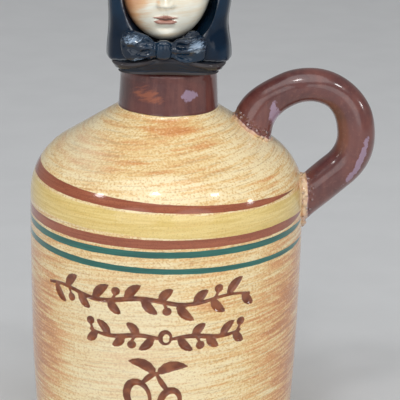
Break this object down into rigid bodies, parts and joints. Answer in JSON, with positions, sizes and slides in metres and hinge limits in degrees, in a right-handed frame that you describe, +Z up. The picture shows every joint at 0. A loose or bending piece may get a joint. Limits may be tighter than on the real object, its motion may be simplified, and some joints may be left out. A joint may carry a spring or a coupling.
{
  "type": "oil bottle",
  "caption": "Glazed jug-shaped oil bottle with a ring handle, banded shoulder and a corked stopper shaped as a bonneted head with a bow.",
  "frame": {"origin": "middle of the jug's flat foot", "axes": "+Z up along the neck, the handle at +X, the stopper's face looks along -Y"},
  "size_m": [0.1048, 0.0836, 0.1779],
  "materials": {
    "cream_glaze": "clear gloss glaze over brushed cream and tan colour with painted bands",
    "brown_glaze": "thick glossy red-brown glaze",
    "black_glaze": "thick glossy blue-black glaze",
    "face_glaze": "clear glaze over brushed cream and tan colour",
    "cork": "natural cork, fine grained and matte"
  },
  "bodies": {
    "bottle": {"jug_body": "cream_glaze", "handle": "brown_glaze"},
    "plug": {"cork": "cork"},
    "head": {"stopper_base": "black_glaze", "stopper_head": "face_glaze", "bonnet": "black_glaze", "bonnet_bow": "black_glaze"}
  },
  "joints": [
    {"name": "stopper_lift", "type": "slide", "parent": "bottle", "child": "plug", "axis": [0, 0, 1], "range_m": [0, 0.06]},
    {"name": "stopper_turn", "type": "hinge", "parent": "plug", "child": "head", "pos_m": [0, 0, 0.1263], "axis": [0, 0, 1], "continuous": true}
  ]
}
